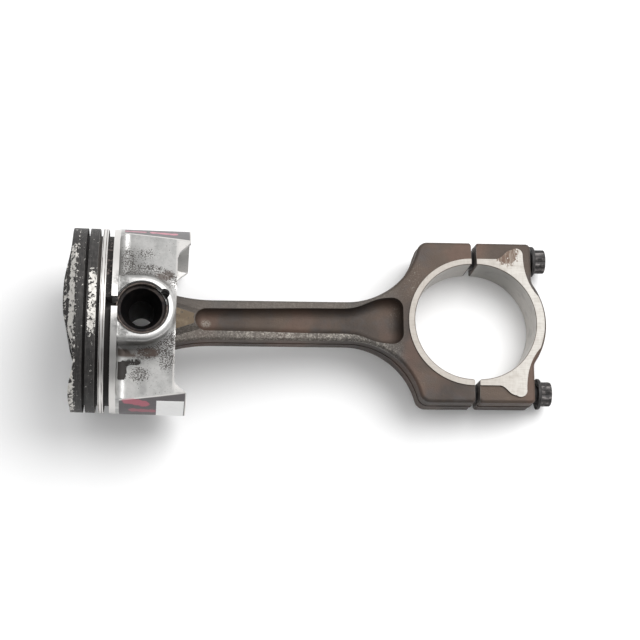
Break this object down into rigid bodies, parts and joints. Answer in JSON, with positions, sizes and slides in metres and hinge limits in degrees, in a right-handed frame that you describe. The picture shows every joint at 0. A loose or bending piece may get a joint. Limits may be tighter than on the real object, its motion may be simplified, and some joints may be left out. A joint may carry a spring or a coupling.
{
  "type": "connecting rod with piston",
  "caption": "Forged engine connecting rod with a bolted bearing cap, backed off, and a cast piston on a floating pin.",
  "frame": {"origin": "centre of the big-end bore at half its width, on the rod half's bore axis", "axes": "+Z along the big-end bore and the piston pin, with the rod lying on its side; +X from the piston to the cap; +Y across the rod"},
  "size_m": [0.2223, 0.0849, 0.0836],
  "materials": {
    "forged_steel": "as forged and dark brown, with bright machined side faces and bores",
    "bolt_steel": "black phosphate",
    "bush_bronze": "machined, oiled",
    "cast_alloy": "as cast walls, machined ring belt, carbon on the crown, grey coated skirts",
    "pin_steel": "ground outside, dark oil film inside",
    "spring_wire": "drawn wire",
    "label_paper": "matt paper-like film, blank"
  },
  "bodies": {
    "rod": {"rod_body": "forged_steel", "small_end_bush": "bush_bronze", "cap_bolt_upper": "bolt_steel", "cap_bolt_lower": "bolt_steel"},
    "cap": {"bearing_cap": "forged_steel"},
    "piston": {"piston": "cast_alloy", "circlip_front": "spring_wire", "circlip_back": "spring_wire", "paper_label": "label_paper"},
    "pin": {"piston_pin": "pin_steel"}
  },
  "joints": [
    {"name": "piston_swing", "type": "hinge", "parent": "rod", "child": "piston", "pos_m": [-0.1513, 0, 0], "axis": [0, 0, 1], "range_deg": [-45, 46]},
    {"name": "pin_turn", "type": "hinge", "parent": "piston", "child": "pin", "pos_m": [-0.1513, 0, 0], "axis": [0, 0, 1], "continuous": true},
    {"name": "cap_slide", "type": "slide", "parent": "rod", "child": "cap", "axis": [1, 0, 0], "range_m": [-0.00235, 0.0015]}
  ]
}
